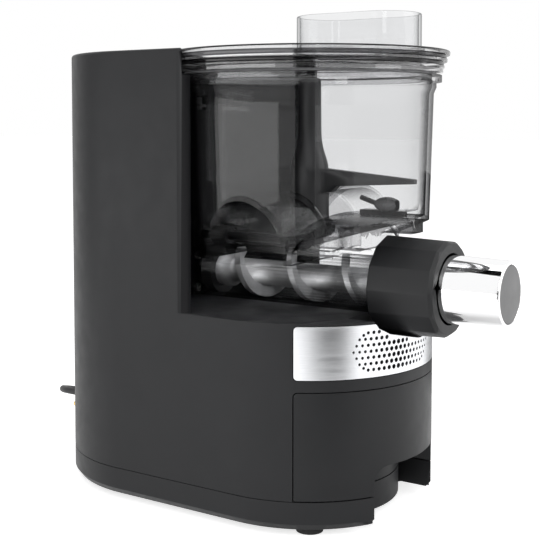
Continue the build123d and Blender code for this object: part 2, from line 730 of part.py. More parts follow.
def bowl():
    outer = bowl_block(0, BOWL_FLOOR, BOWL_TOP) + upright(87.5, 279.5, BOWL_TOP, y=BOWL_Y)
    outer -= scoops(0)
    inner = bowl_block(BOWL_WALL, BOWL_FLOOR + BOWL_WALL, BOWL_TOP + 1)
    inner -= scoops(BOWL_WALL)
    vessel = outer - inner
    # barrel, with a threaded front end and a rear collar
    barrel = rod(BARREL_R, BARREL_FRONT, BARREL_REAR)
    barrel += rod(BARREL_R + 1.4, BARREL_REAR - 4, BARREL_REAR)
    for i in range(4):
        barrel += rod(BARREL_R + 1.2, BARREL_FRONT + 3 + 4 * i, BARREL_FRONT + 5 + 4 * i)
    barrel += rod(BARREL_R + 1.4, NUT_Y[1] + 1.2, NUT_Y[1] + 4)
    neck = block(-9, 9, -110, -64, AXIS_Z + NUT_R + 2, 197) & upright(BOWL_R, 140, 200, y=BOWL_Y)
    neck += block(-9, 9, NUT_Y[1] + 2, -64, AXIS_Z + 12, AXIS_Z + NUT_R + 3)
    vessel += barrel
    vessel += neck - rod(BARREL_R - 2, -130, 60)
    # boss round the paddle's lay shaft, bridge and pin under the paddle
    vessel += rod(8.6, 44, 57.5, z=PADDLE_DRIVE_Z)
    bridge = block(-SIDE_ARCH_X + 1, SIDE_ARCH_X - 1, BOWL_Y - 6, BOWL_Y + 6, 167.4, 171.5)
    bridge += block(-6, 6, BOWL_Y + 5, BOWL_Y + 10, 167.4, 176.4)
    bridge += upright(4.0, 168, 204, y=BOWL_Y)
    vessel -= rod(BORE_R, BARREL_FRONT - 1, BARREL_REAR + 1)
    vessel -= block(-14, 14, -46, 40, AXIS_Z, 175)
    vessel -= rod(6.4, 40, 70, z=PADDLE_DRIVE_Z)
    vessel += bridge - rod(2.56, -20, 5, z=PADDLE_DRIVE_Z)
    vessel += baffle()
    # catch slots in the rim
    for a in (30, 150, 270):
        vessel -= Pos(0, BOWL_Y, 0) * Rot(0, 0, a) * block(85.5, 90, -9, 9, 279, 285)
    return vessel


def baffle():
    """An oval leaf on the front wall, with a pin, that keeps the dough from turning with the paddle."""
    leaf = extrude(Pos(0, -69, -2.4) * Ellipse(4.9, 10.4), 4.8)
    leaf = Rot(0, -90, 0) * fillet(leaf.edges(), 1.9)
    pin = Pos(0, -60.5, 0.2) * Rot(-76, 0, 0) * Cylinder(1.6, 14, align=(CENTER, CENTER, MIN))
    return Pos(0, BOWL_Y, 201.5) * Rot(0, 0, -14) * (leaf + pin)


def barrel_bush():
    bush = rod(BORE_R - 0.02, BARREL_REAR - 9, BARREL_REAR - 0.5) - rod(11.58, 40, 70)
    return bush


def lay_shaft():
    shaft = rod(2.5, BOWL_Y + 6, BOWL_Y + 12, z=PADDLE_DRIVE_Z)
    shaft += rod(3.2, BOWL_Y + 11.4, 50, z=PADDLE_DRIVE_Z)
    shaft += rod(6.33, 44.5, 57.2, z=PADDLE_DRIVE_Z)
    gear = spur_gear(1.0, LAY_TEETH, 90.0 + half_tooth(LAY_TEETH), BOWL_Y + 11.4, BOWL_Y + 14.6, 0,
                     PADDLE_DRIVE_Z, 2.0)
    shaft += gear
    return shaft - hex_bar(UPPER_HEX_AF + 0.6, 46.5, 60, PADDLE_DRIVE_Z)


FACE_TIP_Z = PADDLE_DRIVE_Z + 4.3
FACE_ROOT_Z = PADDLE_DRIVE_Z + 6.6


def paddle_gear():
    """A crown wheel under the paddle, with teeth that point down at the lay shaft."""
    ring = upright(17.4, FACE_ROOT_Z, FACE_ROOT_Z + 2.4, y=BOWL_Y) - upright(4.06, 170, 190, y=BOWL_Y)
    for i in range(FACE_TEETH):
        tooth = Rot(0, 0, 90 + 360 * i / FACE_TEETH) * block(11.2, 15.2, -0.45, 0.45, FACE_TIP_Z, FACE_ROOT_Z + 0.5)
        ring += Pos(0, BOWL_Y, 0) * tooth
    return ring


PADDLE_BASE = FACE_ROOT_Z + 2.4
BLADE_Z = (210.5, 222.5)
BLADE_REACH = 74.2


def paddle():
    with BuildSketch(Plane.XZ) as half:
        with BuildLine():
            Polyline((0, PADDLE_BASE), (17.4, PADDLE_BASE), (17.4, 187), (13.2, 188), (12.7, 221))
            Spline((12.7, 221), (10.2, 232.5), (7.9, 248), tangents=[(0, 1), (0, 1)])
            Polyline((7.9, 248), (7.6, 281), (6.4, 282.6), (0, 282.6), (0, PADDLE_BASE))
        make_face()
    post = Pos(0, BOWL_Y, 0) * revolve(half.sketch, Axis.Z)
    return post + blade() - upright(4.06, 170, 206, y=BOWL_Y)


def blade():
    """The mixing arm, thinner towards its tip, with a gusset under its root."""
    plan = Polygon((0, -7.5), (30, -5.5), (73.0, -2.4), (BLADE_REACH, 0), (73.0, 2.4), (30, 5.5), (0, 7.5),
                   align=None)
    wing = extrude(Pos(0, 0, BLADE_Z[0] - 5) * plan, BLADE_Z[1] - BLADE_Z[0] + 5)
    slope = Polygon((8, BLADE_Z[0] - 3.6), (16.5, BLADE_Z[0] - 3.6), (20, BLADE_Z[0] + 0.4), (80, BLADE_Z[0] + 3),
                    (80, BLADE_Z[0] + 5), (8, BLADE_Z[1]), align=None)
    side = extrude(Plane.XZ * slope, 12, both=True)
    return Pos(0, BOWL_Y, 0) * Rot(0, 0, -80) * (wing & side)


def auger():
    core = rod(AUGER_SHAFT_R, -72, 48) + rod(11.5, 40, 56)
    length = 112.0
    path = Helix(AUGER_PITCH, length, AUGER_SHAFT_R + 3.6)
    start = Plane(path @ 0, x_dir=(path @ 0).normalized(), z_dir=path % 0)
    section = start * Rectangle(2 * (AUGER_R - AUGER_SHAFT_R - 3.6), FLIGHT_T)
    flight = sweep(section, path, is_frenet=True)
    flight = Pos(0, 40, AXIS_Z) * Rot(90, 0, 0) * Rot(0, 0, FLIGHT_START) * flight
    nose = Pos(0, -72, AXIS_Z) * Rot(90, 0, 0) * Cone(AUGER_SHAFT_R, 4, 12, align=(CENTER, CENTER, MIN))
    return core + flight + nose - hex_bar(HEX_AF + 0.7, 41.5, 60, AXIS_Z)


def shaping_disc():
    disc = rod(20.6, -107.5, BARREL_FRONT - 0.3)
    for i in range(8):
        a = math.radians(45 * i)
        disc -= rod(2.2, -110, -90, 9.5 * math.cos(a), AXIS_Z + 9.5 * math.sin(a))
    return disc - rod(2.2, -110, -90)


def nut():
    """Round at the front rim, with flat facets behind it."""
    front, rear = NUT_Y
    outline = Rot(0, 0, NUT_PHASE) * RegularPolygon(NUT_R, NUT_FACETS, major_radius=True)
    shape = extrude(Pos(0, rear, AXIS_Z) * Rot(90, 0, 0) * outline, rear - NUT_FACET_FRONT)
    shape = fillet(shape.edges().filter_by(Axis.Y), 2.0)
    rim = rod(NUT_R - 0.2, front, NUT_FACET_FRONT)
    shape += fillet(rim.edges().group_by(Axis.Y)[0], 1.8)
    shape -= rod(BARREL_R + 1.6, BARREL_FRONT - 0.4, rear + 1)
    shape -= rod(20.9, -108, -90)
    shape -= rod(SPIGOT_R + 0.1, front - 1, -100)
    return shape - rod(NUT_MOUTH_R, front - 1, SLEEVE_STEP_Y)


def outlet_sleeve():
    """A tapered tube with a round lip and a narrow spigot that sits in the nut."""
    root, end = SLEEVE_R
    step = SLEEVE_STEP_Y - 0.1
    body = Pos(0, step, AXIS_Z) * Rot(90, 0, 0) * Cone(root, end, step - SLEEVE_FRONT, align=(CENTER, CENTER, MIN))
    body = fillet(body.edges().group_by(Axis.Y)[0], 2.4)
    tube = body + rod(SPIGOT_R, step - 1, -108.2)
    tube -= rod(SPIGOT_R - 1.3, SLEEVE_FRONT - 1, -100)
    return tube - rod(DISC_SEAT_R, SLEEVE_FRONT - 1, SLEEVE_FRONT + 4)


DISC_SEAT_R = 17.9


def sleeve_disc():
    return rod(DISC_SEAT_R - 0.03, SLEEVE_FRONT + 0.3, SLEEVE_FRONT + 3.98)


# ---------------------------------------------------------------- lid and cup

def cup_oval(inset):
    return SlotOverall(CUP_L - 2 * inset, CUP_W - 2 * inset, rotation=90)


def lid():
    rim_z0, rim_z1 = LID_RIM_Z
    with BuildSketch(Plane.XZ) as half:
        with BuildLine():
            Polyline((0, LID_Z), (76.5, LID_Z), (76.5, 280), (79.2, 280), (79.2, 285.2), (88.5, 285.2), (88.5, 291.5),
                     (LID_RIM_R, rim_z0), (LID_RIM_R, rim_z1), (85.5, rim_z1), (83.5, 293.6),
                     (80, 293.4), (0, 293.4), (0, LID_Z))
        make_face()
    cover = Pos(0, BOWL_Y, 0) * revolve(half.sketch, Axis.Z)
    neck = extrude(Pos(0, CUP_Y, 286) * cup_oval(-2.6), 13)
    cover += neck
    hole = extrude(Pos(0, CUP_Y, 270) * cup_oval(-0.4), 40)
    return cover - hole


def lid_gasket():
    ring = upright(84.0, BOWL_TOP + 0.02, 285.18, y=BOWL_Y) - upright(79.4, 280, 290, y=BOWL_Y)
    return ring


def measuring_cup():
    body = extrude(Pos(0, CUP_Y, 288) * cup_oval(0), CUP_TOP - 288)
    hollow = extrude(Pos(0, CUP_Y, 288 + CUP_WALL) * cup_oval(CUP_WALL), 60)
    rim = extrude(Pos(0, CUP_Y, 299.2) * cup_oval(-2.2), 1.8)
    return body + rim - hollow


# ---------------------------------------------------------------- mains lead

def cord_gland():
    taper = Pos(0, BODY_R + REAR_Y, CORD_Z) * Rot(-90, 0, 0) \
        * Cone(5.6, CORD_D / 2 + 0.9, GLAND_L, align=(CENTER, CENTER, MIN))
    anchor = rod(6.4, BODY_R + REAR_Y - 6, BODY_R + REAR_Y, z=CORD_Z)
    flange = rod(8.4, BODY_R + REAR_Y + 0.3, BODY_R + REAR_Y + 2.3, z=CORD_Z)
    return taper + anchor + flange


CORD_POINTS = [
    (0, 187.05, 40), (0, 198.1, 40), (3.2, 208.5, 39), (10.3, 218, 37), (20.6, 225.2, 33.8),
    (32.7, 228.9, 30.4), (47, 229.1, 26.1), (61.9, 225.4, 20.9), (77.3, 218, 16.2), (92.8, 207.6, 13.9),
]


def turn_radii(points):
    """The largest tangent arcs that the runs of the route leave room for."""
    radii = []
    for a, b, c in zip(points, points[1:], points[2:]):
        run_in = Vector(*b) - Vector(*a)
        run_out = Vector(*c) - Vector(*b)
        turn = math.radians(run_in.get_angle(run_out))
        radii.append(0.45 * min(run_in.length, run_out.length) / math.tan(turn / 2))
    return radii


def cord_lead():
    radii = turn_radii(CORD_POINTS)
    print("lead radii", [round(r, 1) for r in radii])
    path = FilletPolyline(*CORD_POINTS, radius=radii)
    start = Plane(path @ 0, z_dir=path % 0)
    tube = sweep(start * Circle(CORD_D / 2), path)
    print("lead volume", round(tube.volume), "section by length",
          round(math.pi * CORD_D ** 2 / 4 * path.length), "length", round(path.length, 1))
    return tube


def cord_coil():
    half_w = COIL_WIDE * CORD_D / 2
    top = COIL_HIGH * CORD_D
    ring = upright(COIL_MEAN_R + half_w, 0, top, COIL_X, COIL_Y)
    return ring - upright(COIL_MEAN_R - half_w, -1, top + 1, COIL_X, COIL_Y)


PLUG_X = 44.0
PLUG_TAIL_Y = 172.0
PLUG_L = 36.0
PLUG_Z = COIL_HIGH * CORD_D + 7.1


def plug_body():
    """A flat two-pin plug that lies across the coil."""
    outline = Polygon((-13, PLUG_L), (-13, 18), (-6, 0), (6, 0), (13, 18), (13, PLUG_L), align=None)
    body = extrude(Pos(PLUG_X, PLUG_TAIL_Y, PLUG_Z - 7) * outline, 14)
    return fillet(body.edges().filter_by(Axis.Z), 2.5)


def plug_pins():
    face = PLUG_TAIL_Y + PLUG_L
    return [rod(2.0, face + 0.01, face + 19, PLUG_X + x, PLUG_Z) for x in (-9.5, 9.5)]


PARTS = {
    "housing_shell": housing_shell, "rear_cover": rear_cover, "base_tray": base_tray,
    "rubber_feet": rubber_feet, "grille_panel": grille_panel, "drawer_front": drawer_front,
    "drawer_tray": drawer_tray, "spare_discs": spare_discs, "top_panel": top_panel,
    "display_window": display_window, "control_board": control_board, "dock_plate": dock_plate,
    "dock_screws": dock_screws, "dock_rails": dock_rails, "motor_pinion": motor_pinion,
    "reduction_gear": reduction_gear, "output_gear": output_gear, "transfer_gear": transfer_gear,
    "drive_shaft": drive_shaft, "upper_shaft": upper_shaft, "reduction_axle": reduction_axle,
    "gearbox_case": gearbox_case, "gearbox_cover": gearbox_cover, "cover_screws": cover_screws,
    "shaft_bushes": shaft_bushes, "shaft_seals": shaft_seals, "motor_can": motor_can,
    "motor_bearings": motor_bearings, "motor_rotor": motor_rotor, "motor_magnets": motor_magnets,
    "motor_cradle": motor_cradle, "power_board": power_board, "lid_switch": lid_switch,
    "air_fan_case": air_fan_case, "air_fan_wheel": air_fan_wheel, "air_fan_motor": air_fan_motor,
    "bowl": bowl, "barrel_bush": barrel_bush, "lay_shaft": lay_shaft, "paddle_gear": paddle_gear,
    "paddle": paddle, "auger": auger, "shaping_disc": shaping_disc, "nut": nut,
    "outlet_sleeve": outlet_sleeve, "sleeve_disc": sleeve_disc, "lid": lid, "lid_gasket": lid_gasket,
    "measuring_cup": measuring_cup, "cord_gland": cord_gland, "cord_lead": cord_lead,
    "cord_coil": cord_coil, "plug_body": plug_body, "plug_pins": plug_pins,
}

for name, make in PARTS.items():
    made = make()
    save(Compound(made) if isinstance(made, list) else made, name)
for name, (x, y) in PANEL_BUTTONS.items():
    save(button(x, y), name)
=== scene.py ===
import math

import bmesh
import bpy
from mathutils import Matrix, Vector


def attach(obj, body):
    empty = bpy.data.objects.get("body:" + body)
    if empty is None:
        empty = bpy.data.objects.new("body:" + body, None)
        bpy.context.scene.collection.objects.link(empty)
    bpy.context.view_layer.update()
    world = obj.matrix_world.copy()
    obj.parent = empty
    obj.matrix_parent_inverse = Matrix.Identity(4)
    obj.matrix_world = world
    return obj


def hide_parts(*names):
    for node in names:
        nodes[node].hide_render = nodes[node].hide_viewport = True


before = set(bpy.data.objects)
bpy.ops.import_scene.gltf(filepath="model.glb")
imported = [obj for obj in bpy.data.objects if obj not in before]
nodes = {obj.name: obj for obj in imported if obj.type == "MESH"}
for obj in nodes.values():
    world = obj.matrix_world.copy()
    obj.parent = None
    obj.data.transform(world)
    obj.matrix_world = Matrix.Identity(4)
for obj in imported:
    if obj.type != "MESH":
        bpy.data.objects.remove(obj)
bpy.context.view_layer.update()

MM = 0.001

# The machine's own measures, in millimetres, as in its solids.
BOWL_Y = -21.0
FRONT_Y = -18.4
REAR_Y = 78.0
SHELF_Z = 132.0
DOCK_R = 90.0
AXIS_Z = 149.0
NUT_Y = (-124.2, -80.6)
NUT_FACETS = 13
NUT_PHASE = 124.2
BARREL_R = 21.5
BARREL_FRONT = -98.0
BARREL_STEP_R = BARREL_R + 1.6
SPIGOT_R = 18.4
SPIGOT_REAR = -108.0
SLEEVE_STEP_Y = -112.3
SLEEVE_FRONT = -163.0
DISC_R = 17.87
CUP_Y = -57.5
CUP_END_R = 24.6
CUP_STRETCH = 36.0
LID_PLATE_Z = 293.4
CORD_D = 5.5
COIL_X, COIL_Y = 70.0, 188.0


# ---------------------------------------------------------------- finishes

class Finish:
    """A node material, built up in steps."""

    def __init__(self, name, colour, rough, metal=0.0, **more):
        self.material = bpy.data.materials.new(name)
        self.material.use_nodes = True
        self.tree = self.material.node_tree
        self.shader = self.tree.nodes["Principled BSDF"]
        self.set("Base Color", (*colour, 1.0))
        self.set("Roughness", rough)
        self.set("Metallic", metal)
        for socket, value in more.items():
            self.set(socket.replace("_", " "), value)
        self.normal = None

    def set(self, socket, value):
        self.shader.inputs[socket].default_value = value

    def node(self, kind, **settings):
        made = self.tree.nodes.new(kind)
        for key, value in settings.items():
            setattr(made, key, value)
        return made

    def link(self, a, b):
        self.tree.links.new(a, b)

    def place(self, scale=(1, 1, 1), shift=(0, 0, 0)):
        coords = self.node("ShaderNodeTexCoord")
        mapping = self.node("ShaderNodeMapping")
        mapping.inputs["Scale"].default_value = scale
        mapping.inputs["Location"].default_value = shift
        self.link(coords.outputs["Object"], mapping.inputs["Vector"])
        return mapping.outputs["Vector"]

    def noise(self, where, scale, detail=3.0, roughness=0.55):
        made = self.node("ShaderNodeTexNoise")
        made.inputs["Scale"].default_value = scale
        made.inputs["Detail"].default_value = detail
        made.inputs["Roughness"].default_value = roughness
        self.link(where, made.inputs["Vector"])
        return made.outputs["Fac"]

    def ramp(self, value, stops):
        made = self.node("ShaderNodeValToRGB")
        ramp = made.color_ramp
        while len(ramp.elements) < len(stops):
            ramp.elements.new(0.5)
        for element, (at, colour) in zip(ramp.elements, stops):
            element.position = at
            element.color = (*colour, 1.0) if len(colour) == 3 else (colour[0],) * 3 + (1.0,)
        self.link(value, made.inputs["Fac"])
        return made.outputs["Color"]

    def tint(self, value, dark, light, low=0.35, high=0.65):
        self.link(self.ramp(value, [(low, dark), (high, light)]), self.shader.inputs["Base Color"])

    def wear(self, value, low_rough, high_rough, low=0.35, high=0.65):
        """Roughness that changes over the surface."""
        rough = self.ramp(value, [(low, (low_rough,)), (high, (high_rough,))])
        self.link(rough, self.shader.inputs["Roughness"])

    def soft_edges(self, radius_mm):
        made = self.node("ShaderNodeBevel", samples=6)
        made.inputs["Radius"].default_value = radius_mm * MM
        self.normal = made.outputs["Normal"]
        self.link(self.normal, self.shader.inputs["Normal"])

    def bump(self, value, strength, depth_mm):
        made = self.node("ShaderNodeBump")
        made.inputs["Strength"].default_value = strength
        made.inputs["Distance"].default_value = depth_mm * MM
        self.link(value, made.inputs["Height"])
        if self.normal:
            self.link(self.normal, made.inputs["Normal"])
        self.normal = made.outputs["Normal"]
        self.link(self.normal, self.shader.inputs["Normal"])


def moulded(name, colour, rough, grain_mm=0.45, depth_mm=0.02, edge_mm=0.5, spread=0.05, **more):
    """Moulded plastic: a fine spark-eroded grain, faint mottling and softened edges."""
    f = Finish(name, colour, rough, **more)
    if edge_mm:
        f.soft_edges(edge_mm)
    where = f.place()
    mottle = f.noise(where, 38.0, 4.0)
    f.tint(mottle, [c * (1 - spread) for c in colour], [c * (1 + spread) for c in colour])
    f.wear(f.noise(where, 90.0, 3.0), rough * 0.93, min(1.0, rough * 1.07))
    grain = f.noise(where, 1.0 / (grain_mm * MM), 2.0, 0.6)
    f.bump(grain, 0.35, depth_mm)
    return f.material


def clear_plastic(name, through, edge, gloss=0.30, least=0.045, rough=0.012):
    """Thin clear plastic: it lets light straight through, darker edge on, with a sheen on top."""
    f = Finish(name, through, rough)
    f.tree.nodes.remove(f.shader)
    facing = f.node("ShaderNodeLayerWeight")
    facing.inputs["Blend"].default_value = 0.5
    clear = f.node("ShaderNodeBsdfTransparent")
    tinted = f.ramp(facing.outputs["Facing"], [(0.0, through), (0.62, through), (0.97, edge)])
    f.link(tinted, clear.inputs["Color"])
    sheen = f.node("ShaderNodeBsdfAnisotropic")
    sheen.inputs["Color"].default_value = (gloss, gloss, gloss, 1)
    smears = f.ramp(f.noise(f.place(), 30.0, 2.0), [(0.3, (rough,)), (0.7, (rough * 2.2,))])
    f.link(smears, sheen.inputs["Roughness"])
    steep = f.node("ShaderNodeMath", operation="POWER")
    steep.inputs[1].default_value = 5.0
    f.link(facing.outputs["Facing"], steep.inputs[0])
    share = f.node("ShaderNodeMapRange")
    share.inputs["To Min"].default_value = least
    f.link(steep.outputs[0], share.inputs["Value"])
    mix = f.node("ShaderNodeMixShader")
    f.link(share.outputs["Result"], mix.inputs["Fac"])
    f.link(clear.outputs["BSDF"], mix.inputs[1])
    f.link(sheen.outputs["BSDF"], mix.inputs[2])
    f.link(mix.outputs["Shader"], f.tree.nodes["Material Output"].inputs["Surface"])
    return f.material


def turned_steel(name, colour, rough, line_mm=0.25, depth_mm=0.004):
    """Machined metal: fine rings across the Y axis."""
    f = Finish(name, colour, rough, 1.0)
    f.soft_edges(0.25)
    rings = f.noise(f.place(scale=(0.02, 1.0, 0.02)), 1.0 / (line_mm * MM), 2.0)
    f.wear(rings, rough * 0.75, rough * 1.3)
    f.bump(rings, 0.4, depth_mm)
    stains = f.noise(f.place(), 60.0, 3.0)
    f.tint(stains, [c * 0.9 for c in colour], colour)
    return f.material


def brushed_front(name):
    """The grille's steel: long hairlines that follow the curved front."""
    f = Finish(name, (0.80, 0.81, 0.83), 0.30, 1.0, Anisotropic=0.4)
    f.soft_edges(0.3)
    hair = f.noise(f.place(scale=(0.02, 0.02, 1.0)), 5200.0, 3.0, 0.7)
    band = f.noise(f.place(scale=(0.05, 0.05, 1.0)), 240.0, 3.0)
    f.tint(hair, (0.75, 0.76, 0.78), (0.87, 0.88, 0.90), 0.3, 0.7)
    f.wear(band, 0.28, 0.34)
    f.bump(hair, 0.25, 0.004)
    return f.material


def plated(name, colour, rough):
    """Plated or polished metal with slight wear."""
    f = Finish(name, colour, rough, 1.0)
    f.soft_edges(0.2)
    where = f.place()
    f.wear(f.noise(where, 70.0, 4.0), rough * 0.7, rough * 1.4)
    f.bump(f.noise(where, 240.0, 2.0), 0.02, 0.01)
    return f.material


def rubbery(name, colour, rough):
    """Soft black or grey rubber with a matt, mottled skin."""
    f = Finish(name, colour, rough)
    f.soft_edges(0.3)
    where = f.place()
    f.tint(f.noise(where, 120.0, 4.0), [c * 0.75 for c in colour], [c * 1.35 for c in colour])
    f.wear(f.noise(where, 320.0, 3.0), rough * 0.9, min(1.0, rough * 1.1))
    f.bump(f.noise(where, 1700.0, 3.0), 0.3, 0.03)
    return f.material


def circuit_board(name):
    """Green solder mask over a grid of tracks."""
    f = Finish(name, (0.02, 0.13, 0.06), 0.35)
    where = f.place()
    tracks = f.node("ShaderNodeTexBrick")
    tracks.inputs["Scale"].default_value = 260.0
    tracks.inputs["Mortar Size"].default_value = 0.04
    tracks.inputs["Color1"].default_value = (0.015, 0.10, 0.045, 1)
    tracks.inputs["Color2"].default_value = (0.02, 0.13, 0.06, 1)
    tracks.inputs["Mortar"].default_value = (0.10, 0.34, 0.15, 1)
    f.link(where, tracks.inputs["Vector"])
    f.link(tracks.outputs["Color"], f.shader.inputs["Base Color"])
    return f.material


def wound_copper(name):
    """Enamelled wire in close turns."""
    f = Finish(name, (0.42, 0.20, 0.10), 0.38, 0.8)
    wire = f.node("ShaderNodeTexWave", wave_type="BANDS", bands_direction="Y")
    wire.inputs["Scale"].default_value = 320.0
    wire.inputs["Distortion"].default_value = 1.2
    f.link(f.place(), wire.inputs["Vector"])
    f.tint(wire.outputs["Fac"], (0.16, 0.07, 0.035), (0.62, 0.30, 0.15), 0.1, 0.8)
    f.bump(wire.outputs["Fac"], 0.5, 0.2)
    return f.material


charcoal = moulded("charcoal_shell", (0.0172, 0.0176, 0.019), 0.46, Specular_IOR_Level=0.24)
charcoal_drawer = moulded("charcoal_drawer", (0.0145, 0.015, 0.0162), 0.42, 0.5, 0.012, 0.6,
                          Specular_IOR_Level=0.24)
dock_black = moulded("dock_black", (0.006, 0.006, 0.007), 0.40, 0.4, 0.001, 0.0,
                     Specular_IOR_Level=0.15)
panel_black = moulded("panel_black", (0.006, 0.006, 0.007), 0.10, 0.6, 0.002, 0.3)
paddle_black = moulded("paddle_black", (0.013, 0.013, 0.014), 0.42, 0.7, 0.06, 0.5, 0.25)
nut_black = moulded("nut_black", (0.0115, 0.0119, 0.013), 0.5, 0.4, 0.010, 0.0,
                    Specular_IOR_Level=0.36)
disc_grey = moulded("disc_grey", (0.15, 0.15, 0.152), 0.50, 0.3, 0.02, 0.2, 0.06)
disc_black = moulded("disc_black", (0.03, 0.03, 0.032), 0.45, 0.3, 0.02, 0.3)
gear_white = moulded("gear_acetal", (0.72, 0.70, 0.64), 0.42, 0.5, 0.01, 0.2, 0.05)
case_grey = moulded("case_grey", (0.09, 0.09, 0.095), 0.5)
gasket_grey = rubbery("gasket_grey", (0.16, 0.16, 0.165), 0.6)
rubber_black = rubbery("rubber_black", (0.018, 0.018, 0.018), 0.72)
cord_black = rubbery("cord_black", (0.012, 0.012, 0.013), 0.55)
bowl_clear = clear_plastic("bowl_clear", (0.945, 0.947, 0.95), (0.20, 0.20, 0.21))
lid_clear = clear_plastic("lid_clear", (0.86, 0.86, 0.865), (0.30, 0.30, 0.305), 0.85, 0.085)
# Painted shade: a dark copy of the lid's plastic for the rim's dark lines.
lid_shade = clear_plastic("lid_shade", (0.16, 0.16, 0.165), (0.02, 0.02, 0.02), 0.55, 0.05)
# Painted shade: a darker copy of the bowl's plastic for its front underside and front arch.
bowl_shade = clear_plastic("bowl_shade", (0.42, 0.42, 0.425), (0.05, 0.05, 0.05), 0.45, 0.06)
# Painted highlight: a less clear copy of the bowl's plastic with a stronger, rougher sheen, for the
# side scoop walls.
bowl_painted_sheen = clear_plastic("bowl_painted_sheen", (0.90, 0.90, 0.905), (0.30, 0.30, 0.305), 0.40, 0.16, 0.22)
leaf_smoke = moulded("leaf_smoke", (0.045, 0.045, 0.047), 0.28, 0.5, 0.01, 0.4)
cup_clear = clear_plastic("cup_clear", (0.965, 0.967, 0.97), (0.66, 0.67, 0.68))
steel_auger = turned_steel("auger_steel", (0.95, 0.95, 0.955), 0.52, 0.6, depth_mm=0.0005)
steel_shaft = turned_steel("shaft_steel", (0.62, 0.62, 0.64), 0.26)
steel_dark = plated("blackened_steel", (0.035, 0.035, 0.037), 0.42)
gear_dark = moulded("gear_dark", (0.02, 0.02, 0.021), 0.5, 0.5, 0.01, 0.2, 0.05)
steel_screw = plated("screw_zinc", (0.62, 0.62, 0.60), 0.30)
brass_bush = plated("bush_brass", (0.72, 0.52, 0.24), 0.28)
grille_steel = brushed_front("grille_steel")
chrome = plated("sleeve_chrome", (0.96, 0.96, 0.965), 0.06)
button_alloy = plated("button_alloy", (0.58, 0.59, 0.61), 0.32)
motor_grey = moulded("motor_grey", (0.16, 0.165, 0.17), 0.4, 0.6, 0.03, 0.4)
board_green = circuit_board("board_green")
winding = wound_copper("motor_winding")
magnet_dark = moulded("magnet_dark", (0.03, 0.03, 0.032), 0.6, 0.3, 0.06, 0.3)
display_glass = moulded("display_glass", (0.004, 0.006, 0.008), 0.06, 0.8, 0.001, 0.2)


# ---------------------------------------------------------------- making pieces

def stand(name, mesh_or_bm, body, finish, replaced, smooth=32.0):
    """Put a finished mesh in the scene, smooth it and let it ride on its body."""
    if isinstance(mesh_or_bm, bmesh.types.BMesh):
        mesh = bpy.data.meshes.new(name)
        mesh_or_bm.to_mesh(mesh)
        mesh_or_bm.free()
    else:
        mesh = mesh_or_bm
    mesh.shade_smooth()
    mesh.set_sharp_from_angle(angle=math.radians(smooth))
    piece = bpy.data.objects.new(name, mesh)
    bpy.context.scene.collection.objects.link(piece)
    mesh.materials.append(finish)
    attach(piece, body)
    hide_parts(*replaced)
    return piece


def turned(profile, centre=(0, 0, 0), axis="Z", segments=96, closed=True):
    """Spin a profile of (radius, height) in millimetres about its axis."""
    bm = bmesh.new()
    ring = [bm.verts.new((r * MM, 0, h * MM)) for r, h in profile]
    edges = [bm.edges.new(pair) for pair in zip(ring, ring[1:])]
    if closed:
        edges.append(bm.edges.new((ring[-1], ring[0])))
    bmesh.ops.spin(bm, geom=ring + edges, cent=(0, 0, 0), axis=(0, 0, 1), dvec=(0, 0, 0),
                   angle=2 * math.pi, steps=segments, use_merge=True, use_normal_flip=False,
                   use_duplicate=False)
    bmesh.ops.remove_doubles(bm, verts=bm.verts, dist=1e-6)
    bmesh.ops.recalc_face_normals(bm, faces=bm.faces)
    if axis == "Y":
        bmesh.ops.rotate(bm, verts=bm.verts, cent=(0, 0, 0),
                         matrix=Matrix.Rotation(-math.pi / 2, 3, "X"))
    bmesh.ops.translate(bm, verts=bm.verts, vec=Vector(centre) * MM)
    return bm


def rounded(points, radius, steps=4, closed=True):
    """A profile with its corners turned into small arcs.  Points are (r, h) or (r, h, radius)."""
    out = []
    count = len(points)
    for i, point in enumerate(points):
        here = Vector(point[:2])
        r = point[2] if len(point) > 2 else radius
        if r == 0 or (not closed and i in (0, count - 1)):
            out.append(tuple(here))
            continue
        before = Vector(points[i - 1][:2]) - here
        after = Vector(points[(i + 1) % count][:2]) - here
        if before.length < 1e-6 or after.length < 1e-6:
            out.append(tuple(here))
            continue
        half = before.angle(after) / 2
        reach = min(r / math.tan(half), 0.49 * before.length, 0.49 * after.length)
        a = here + before.normalized() * reach
        b = here + after.normalized() * reach
        for k in range(steps + 1):
            t = k / steps
            out.append(tuple(a * (1 - t) ** 2 + here * 2 * t * (1 - t) + b * t ** 2))
    return out


def follow_stadium(piece):
    """Give the upright faces the exact normals of the round-ended plan, so no facets show."""
    mesh = piece.data
    normals = [Vector((0, 0, 0))] * len(mesh.loops)
    for face in mesh.polygons:
        flat = Vector((face.normal.x, face.normal.y))
        if flat.length < 0.985:
            continue
        flat.normalize()
        for index in face.loop_indices:
            at = mesh.vertices[mesh.loops[index].vertex_index].co / MM
            if at.y < FRONT_Y:
                out = Vector((at.x, at.y - FRONT_Y))
            elif at.y > REAR_Y:
                out = Vector((at.x, at.y - REAR_Y))
            else:
                out = Vector((math.copysign(1, at.x), 0))
            out.normalize()
            turn = out.dot(flat)
            if abs(turn) > 0.985:
                normals[index] = Vector((*(out * math.copysign(1, turn)), 0))
    mesh.normals_split_custom_set(normals)
    return piece


def from_solid(node, finish, name, body, smooth=32.0):
    """A merged, smooth-shaded copy of a solid, which stands for it."""
    bm = bmesh.new()
    bm.from_mesh(nodes[node].data)
    bmesh.ops.remove_doubles(bm, verts=bm.verts, dist=2e-6)
    bmesh.ops.dissolve_degenerate(bm, edges=bm.edges, dist=1e-6)
    mesh = bpy.data.meshes.new(name)
    bm.to_mesh(mesh)
    bm.free()
    return stand(name, mesh, body, finish, (node,), smooth)


